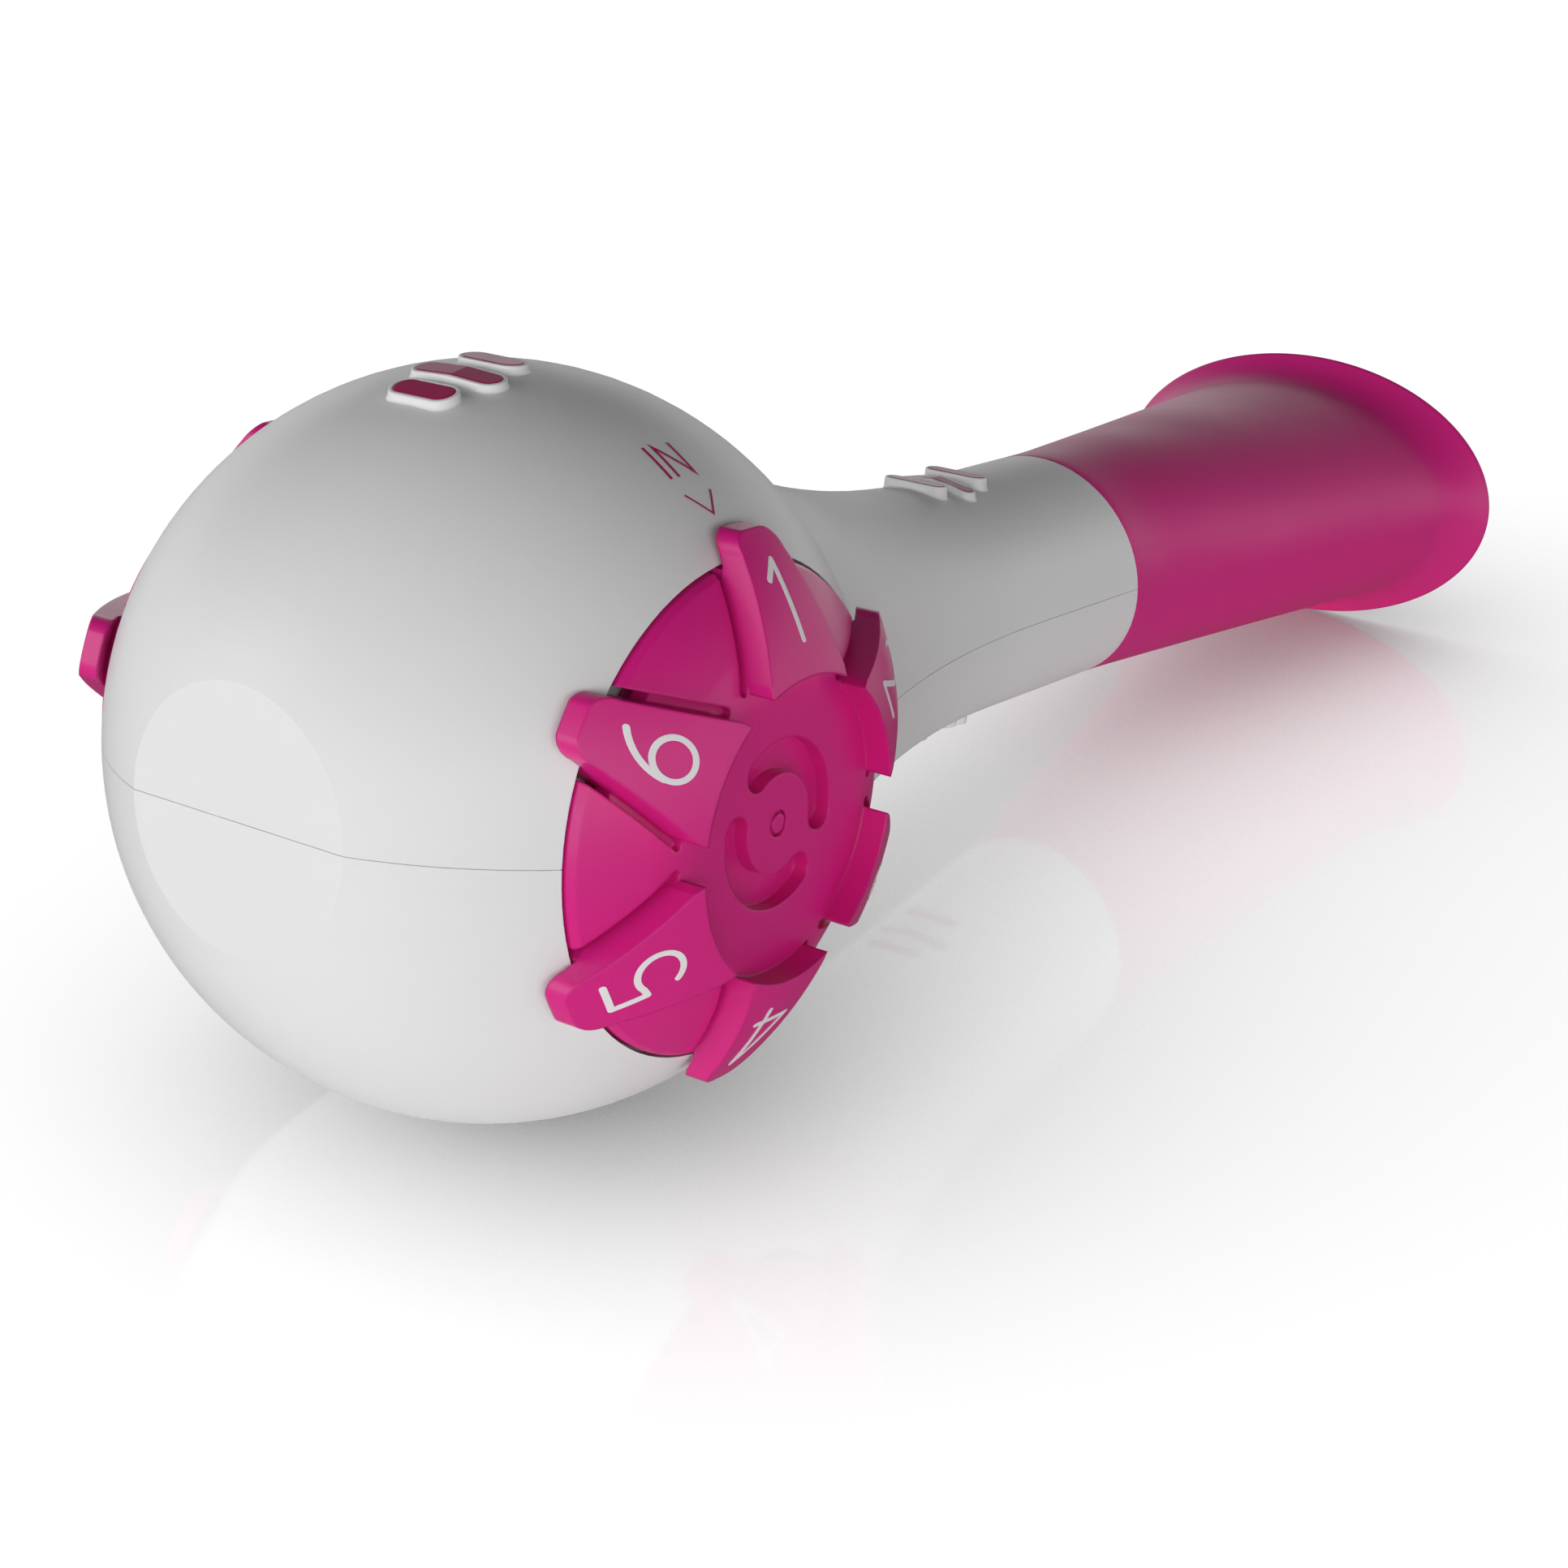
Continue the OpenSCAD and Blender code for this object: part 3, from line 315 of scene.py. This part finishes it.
neckGrip = dict(
    middleY=63.5, pitch=3.5, length=8.2, endShare=0.76, width=1.6, faceHeight=0.72, crease=0.17,
    slopeReach=0.5, tipSteps=12, sideSteps=12, sharpAngle=75,
    faceProfile=[(-0.08, -0.4), (-0.08, -0.1), (-0.1, -0.04), (-0.14, -0.01), (-0.2, 0.0)],
    skirtProfile=[
        (-0.09, 0.35, 1), (-0.07, 0.04, 1), (-0.02, 0.02, 1), (0.05, 0.02, 1), (0.1, 0.04, 1),
        (0.14, 0.1, 1), (0.16, 0.1, 0.84), (0.18, 0.1, 0.5), (0.2, 0.1, 0.22),
        (0.25, 0.1, 0.06), (0.33, 0.1, 0.0), (0.4, 0.1, -0.1)])


def ballHeight(x, y):
    # how high the shell lies over the middle plane at x, y
    return sqrt(max(ballShape["radius"] ** 2 - x * x - y * y, 0))


def neckHeight(x, y):
    r = neckShape["radius"]
    if y < neckShape["waistY"]:
        r += neckShape["sweep"] - sqrt(neckShape["sweep"] ** 2 - (neckShape["waistY"] - y) ** 2)
    return sqrt(max(r * r - x * x, 0))


def pillChain(length, width, grow, grip):
    # the upper half of a round-ended outline, from the right tip to the left one, grown by grow
    r = width / 2 + grow
    straight = (length - width) / 2
    arc = grip["tipSteps"]
    run = grip["sideSteps"]
    right = [(straight + r * cos(pi / 2 * k / arc), r * sin(pi / 2 * k / arc)) for k in range(arc + 1)]
    middle = [(straight * (1 - 2 * k / run), r) for k in range(1, run)]
    left = [(-x, y) for x, y in reversed(right)]
    return right + middle + left


def pillOutline(length, width, grow, grip):
    top = pillChain(length, width, grow, grip)
    return top + [(x, -y) for x, y in reversed(top[1:-1])]


def buildGrip(name, grip, height, upside):
    # three bars in a row, the outer two shorter; upside False turns the row under the part
    side = 1 if upside else -1
    facePoints, faceFaces, flatFaces, skirtPoints, skirtFaces = [], [], [], [], []
    for place in (-1, 0, 1):
        length = grip["length"] * (1 if place == 0 else grip["endShare"])
        yMid = grip["middleY"] + place * grip["pitch"]
        reach = grip["slopeReach"]  # how far before and after the bar the shell's slope is taken
        slopeY = (height(0, yMid + reach) - height(0, yMid - reach)) / (2 * reach)
        crease = grip["crease"] if place == 0 else 0

        def faceZ(x, y):
            # the middle bar's face is folded along its middle, the others' faces are flat
            return height(0, yMid) + grip["faceHeight"] + slopeY * (y - yMid) - crease * abs(x)

        n = len(pillOutline(length, grip["width"], 0, grip))
        first = len(facePoints)
        for grow, up in grip["faceProfile"]:
            for px, py in pillOutline(length, grip["width"], grow, grip):
                facePoints.append((side * px, yMid + py, side * (faceZ(px, yMid + py) + up)))
        faceFaces += loftFaces(len(grip["faceProfile"]), n, first=first)
        # the face itself, in strips across the bar, so that the fold stays crisp
        last = first + (len(grip["faceProfile"]) - 1) * n
        strips = [[last, last + 1, last + n - 1]]
        strips += [[last + i, last + i + 1, last + n - i - 1, last + n - i] for i in range(1, n // 2 - 1)]
        strips += [[last + n // 2 - 1, last + n // 2, last + n // 2 + 1]]
        flatFaces += range(len(faceFaces), len(faceFaces) + len(strips))
        faceFaces += strips
        firstSkirt = len(skirtPoints)
        for grow, down, share in grip["skirtProfile"]:
            for px, py in pillOutline(length, grip["width"], grow, grip):
                surface = height(px, yMid + py)
                top = faceZ(px, yMid + py) - down
                skirtPoints.append((side * px, yMid + py, side * (surface + (top - surface) * share)))
        skirtFaces += loftFaces(len(grip["skirtProfile"]), n, first=firstSkirt)
    face = meshPiece(name + "_faces", facePoints, faceFaces, magentaTpe, "housing",
                     sharpAngle=grip["sharpAngle"], flat=flatFaces)
    meshPiece(name + "_skirts", skirtPoints, skirtFaces, whiteAbs, "housing",
              sharpAngle=grip["sharpAngle"])
    return face


for label, grip, height, upside in (
        ("ball_grip_top", ballGrip, ballHeight, True), ("neck_grip_top", neckGrip, neckHeight, True),
        ("neck_grip_bottom", neckGrip, neckHeight, False)):
    face = buildGrip(label, grip, height, upside)
    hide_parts(label)
print("grip bars built")


# Print on the ball: a plain word and a pointer over each dial

printMarks = dict(
    letterHeight=3.1, stroke=0.3, baseRadius=24.5, pointerRadius=22.1, pointerHalf=1.5,
    pointerHeight=2.0, pointerStroke=0.2, thick=0.03, spacing=0.3, runStep=0.3, mitreLimit=0.35)


def ovalRun(halfWidth, middle, halfHeight, start, end, steps):
    # part of an oval that touches the letter's left side; the angles run clockwise from the top
    turns = [radians(start + (end - start) * k / steps) for k in range(steps + 1)]
    return [(halfWidth + halfWidth * sin(t), middle + halfHeight * cos(t)) for t in turns]


# each letter's width, then its strokes as runs of points, all as shares of the letter's height
letterStrokes = {
    "I": (0.0, [[(0, 0), (0, 1)]]),
    "N": (0.66, [[(0, 0), (0, 1), (0.66, 0), (0.66, 1)]]),
    "O": (0.84, [ovalRun(0.42, 0.5, 0.5, 0, 360, steps=28)]),
    "U": (0.66, [[(0, 1)] + ovalRun(0.33, 0.34, 0.34, 270, 90, steps=12) + [(0.66, 1)]]),
    "T": (0.68, [[(0, 1), (0.68, 1)], [(0.34, 0), (0.34, 1)]])}


def ribbonAlong(points, width, marks, toSphere, pointsOut, facesOut):
    # a flat band along a run of plan points; corners are mitred and the ends reach half a width further
    fine = []
    for a, b in zip(points, points[1:]):
        steps = max(1, int(hypot(b[0] - a[0], b[1] - a[1]) / marks["runStep"]))
        fine += [(a[0] + (b[0] - a[0]) * k / steps, a[1] + (b[1] - a[1]) * k / steps) for k in range(steps)]
    fine.append(points[-1])
    first = len(pointsOut)
    for i, p in enumerate(fine):
        before = fine[i - 1] if i else None
        after = fine[i + 1] if i < len(fine) - 1 else None
        inDir = Vector((p[0] - before[0], p[1] - before[1])).normalized() if before else None
        outDir = Vector((after[0] - p[0], after[1] - p[1])).normalized() if after else None
        mid = ((inDir or outDir) + (outDir or inDir)).normalized()
        stretch = 1 / max(mid.dot(inDir or outDir), marks["mitreLimit"])
        across = Vector((-mid.y, mid.x)) * width / 2 * stretch
        lead = mid * (width / 2) if before is None else Vector((0, 0))
        tail = mid * (width / 2) if after is None else Vector((0, 0))
        for sign in (1, -1):
            q = Vector(p) + across * sign - lead + tail
            pointsOut.append(toSphere(q.x, q.y))
    for i in range(len(fine) - 1):
        a = first + 2 * i
        facesOut.append([a, a + 1, a + 3, a + 2])


def buildPrint(name, word, marks, outward):
    # outward +1 is the inhale side, -1 the exhale side turned half round
    points, faces = [], []
    r = ballShape["radius"] + marks["thick"]

    def onBall(across, base, along):
        # across is the reader's right; along runs over the ball, away from the dial, from a base radius
        polar = asin(base / ballShape["radius"]) + along / ballShape["radius"]
        turn = across / (ballShape["radius"] * sin(polar))
        return (outward * r * cos(polar), outward * r * sin(polar) * sin(turn), r * sin(polar) * cos(turn))

    size = marks["letterHeight"]
    widths = [letterStrokes[c][0] * size for c in word]
    total = sum(widths) + marks["spacing"] * size * (len(word) - 1)
    x = -total / 2
    for c, w in zip(word, widths):
        for run in letterStrokes[c][1]:
            ribbonAlong([(x + px * size, py * size) for px, py in run], marks["stroke"], marks,
                        lambda u, v: onBall(u, marks["baseRadius"], v), points, faces)
        x += w + marks["spacing"] * size
    half, tall = marks["pointerHalf"], marks["pointerHeight"]
    ribbonAlong([(-half, tall), (0, 0), (half, tall)], marks["pointerStroke"], marks,
                lambda u, v: onBall(u, marks["pointerRadius"], v), points, faces)
    meshPiece(name, points, faces, printMagenta, "housing")


buildPrint("inhale_print", "IN", printMarks, 1)
buildPrint("exhale_print", "OUT", printMarks, -1)
print("print built")


# Floor, light and camera

# White lacquered table: it glows back on the object's lower side, and mirrors it faintly.
# The object's soft shadow on it is a painted shadow: the floor's glow is dimmed by ambient occlusion, leaned away
# from the tent's bright front left side.
floorLook = dict(
    glow=1.15, spread=0.2, backGain=1.3, backGlow=0.22, mirroredGain=0.13, mirroredGlow=0.05,
    shadowReach=0.15, shadowLean=(-0.2, -0.3, 1.0), shadowDepth=0.9, shadowSamples=8,
    sheenRoughness=0.07, ior=1.5, mirrorShare=1.15, size=14.0)


def buildFloor(look):
    material = bpy.data.materials.new("pale_lacquered_floor")
    material.use_nodes = True
    tree = material.node_tree
    tree.nodes.clear()

    def diffuseWith(gain, glow):
        body = addNode(tree, "ShaderNodeBsdfDiffuse", {"Color": (gain, gain, gain, 1)})
        light = addNode(tree, "ShaderNodeEmission", {"Color": plainWhite, "Strength": glow})
        return addNode(tree, "ShaderNodeAddShader", {0: body.outputs[0], 1: light.outputs[0]})

    # what the camera sees: mostly the floor's own glow, with a painted shadow where the object stands over it (the
    # glow dimmed by ambient occlusion); only its faint body colour takes the real shadow
    lean = Vector(look["shadowLean"]).normalized()
    leaning = addNode(tree, "ShaderNodeCombineXYZ", {"X": lean.x, "Y": lean.y, "Z": lean.z})
    openness = addNode(tree, "ShaderNodeAmbientOcclusion", {
        "Distance": look["shadowReach"], "Normal": leaning.outputs[0]}, samples=look["shadowSamples"])
    deeper = addNode(tree, "ShaderNodeMath", {
        0: openness.outputs["AO"], 1: look["shadowDepth"]}, operation="POWER")
    shade = addNode(tree, "ShaderNodeMath", {
        0: deeper.outputs[0], 1: look["glow"]}, operation="MULTIPLY")
    seen = diffuseWith(look["spread"], shade.outputs[0])
    # what lights the object from below
    bounced = diffuseWith(look["backGain"], look["backGlow"])
    # mirrored in the glossy plastic the floor is dim, so that lower edges keep their full colour
    mirrored = diffuseWith(look["mirroredGain"], look["mirroredGlow"])
    path = addNode(tree, "ShaderNodeLightPath")
    others = addNode(tree, "ShaderNodeMixShader", {
        0: path.outputs["Is Glossy Ray"], 1: bounced.outputs[0], 2: mirrored.outputs[0]})
    lit = addNode(tree, "ShaderNodeMixShader", {
        0: path.outputs["Is Camera Ray"], 1: others.outputs[0], 2: seen.outputs[0]})
    mirror = addNode(tree, "ShaderNodeBsdfGlossy", {
        "Color": plainWhite, "Roughness": look["sheenRoughness"]})
    grazing = addNode(tree, "ShaderNodeFresnel", {"IOR": look["ior"]})
    share = addNode(tree, "ShaderNodeMath", {0: grazing.outputs[0], 1: look["mirrorShare"]},
                    operation="MULTIPLY", use_clamp=True)
    both = addNode(tree, "ShaderNodeMixShader", {
        0: share.outputs[0], 1: lit.outputs[0], 2: mirror.outputs[0]})
    addNode(tree, "ShaderNodeOutputMaterial", {"Surface": both.outputs[0]})
    s = look["size"] / 2
    mesh = bpy.data.meshes.new("floor")
    mesh.from_pydata([(-s, -s, 0), (s, -s, 0), (s, s, 0), (-s, s, 0)], [], [(0, 1, 2, 3)])
    mesh.materials.append(material)
    floor = bpy.data.objects.new("floor", mesh)
    scene.collection.objects.link(floor)


buildFloor(floorLook)

# heights are the sine of the elevation, each with how bright the tent is there
skyLook = dict(
    stops=[(0.0, 1.05), (0.22, 1.0), (0.35, 0.3), (0.5, 0.06), (0.75, 0.02), (1.0, 0.02)],
    brightSide=(0.05, -0.98, 0.08), brightFrom=-0.3, brightTo=0.95, brightGain=3.6, dimGain=0.42,
    mirroredGain=1.0)


def buildSky(look):
    # a light tent with white walls and a dark roof, brightest at its front left
    world = bpy.data.worlds.new("studio_tent")
    scene.world = world
    world.use_nodes = True
    tree = world.node_tree
    tree.nodes.clear()
    place = addNode(tree, "ShaderNodeTexCoord")
    split = addNode(tree, "ShaderNodeSeparateXYZ", {"Vector": place.outputs["Generated"]})
    ramp = addNode(tree, "ShaderNodeValToRGB", {"Fac": split.outputs["Z"]})
    ramp.color_ramp.interpolation = "EASE"
    stops = ramp.color_ramp.elements
    (stops[0].position, low), *between, (stops[1].position, high) = look["stops"]
    stops[0].color, stops[1].color = (low, low, low, 1), (high, high, high, 1)
    for position, bright in between:
        stop = stops.new(position)
        stop.color = (bright, bright, bright, 1)
    side = Vector(look["brightSide"]).normalized()
    facing = addNode(tree, "ShaderNodeVectorMath", {0: place.outputs["Generated"], 1: tuple(side)},
                     operation="DOT_PRODUCT")
    gain = addNode(tree, "ShaderNodeMapRange", {
        "Value": facing.outputs["Value"], "From Min": look["brightFrom"], "From Max": look["brightTo"],
        "To Min": look["dimGain"], "To Max": look["brightGain"]}, interpolation_type="SMOOTHSTEP")
    path = addNode(tree, "ShaderNodeLightPath")
    # reflections leave out the bright side, so that the far floor stays pale
    even = addNode(tree, "ShaderNodeMix", {
        0: path.outputs["Is Glossy Ray"], 2: gain.outputs["Result"], 3: look["mirroredGain"]},
        data_type="FLOAT")
    tent = addNode(tree, "ShaderNodeBackground", {
        "Color": ramp.outputs["Color"], "Strength": even.outputs[0]})
    # the camera itself sees plain white behind the object
    white = addNode(tree, "ShaderNodeBackground", {"Color": plainWhite, "Strength": 1.0})
    pick = addNode(tree, "ShaderNodeMixShader", {
        0: path.outputs["Is Camera Ray"], 1: tent.outputs[0], 2: white.outputs[0]})
    addNode(tree, "ShaderNodeOutputWorld", {"Surface": pick.outputs[0]})


buildSky(skyLook)

# two small softboxes in front add faint highlights
softLamps = [
    dict(name="left_softbox", place=(-0.75, -0.95, 0.55), aim=(0, -0.05, 0.03), size=0.5, watts=0.8),
    dict(name="right_softbox", place=(0.9, -0.7, 0.35), aim=(0, -0.05, 0.03), size=0.3, watts=0.3)]
for lamp in softLamps:
    data = bpy.data.lights.new(lamp["name"], "AREA")
    data.shape = "SQUARE"
    data.size = lamp["size"]
    data.energy = lamp["watts"]
    light = bpy.data.objects.new(lamp["name"], data)
    light.location = lamp["place"]
    light.rotation_euler = (Vector(lamp["aim"]) - Vector(lamp["place"])).to_track_quat("-Z", "Y").to_euler()
    scene.collection.objects.link(light)

# Camera matched to the photograph: place and axes round the ball's centre, in ball radii
cameraFit = dict(
    place=(5.01449, -6.02804, 2.46317), lens=71.531, sensor=36, farClip=50,
    right=(0.81503742, 0.57601013, 0.0626605),
    down=(0.22695469, -0.21787438, -0.94922196),
    ahead=(-0.53310934, 0.78787251, -0.30830397))
cameraData = bpy.data.cameras.new("camera")
cameraData.sensor_width = cameraFit["sensor"]
cameraData.lens = cameraFit["lens"]
cameraData.clip_end = cameraFit["farClip"]
camera = bpy.data.objects.new("camera", cameraData)
scene.collection.objects.link(camera)
right, up, back = Vector(cameraFit["right"]), -Vector(cameraFit["down"]), -Vector(cameraFit["ahead"])
place = Vector(cameraFit["place"]) * ballShape["radius"] * mm
camera.matrix_world = laidDown @ Matrix([
    (right.x, up.x, back.x, place.x), (right.y, up.y, back.y, place.y),
    (right.z, up.z, back.z, place.z), (0, 0, 0, 1)])
scene.camera = camera
scene.view_settings.view_transform = "Standard"
print("floor, light and camera set")
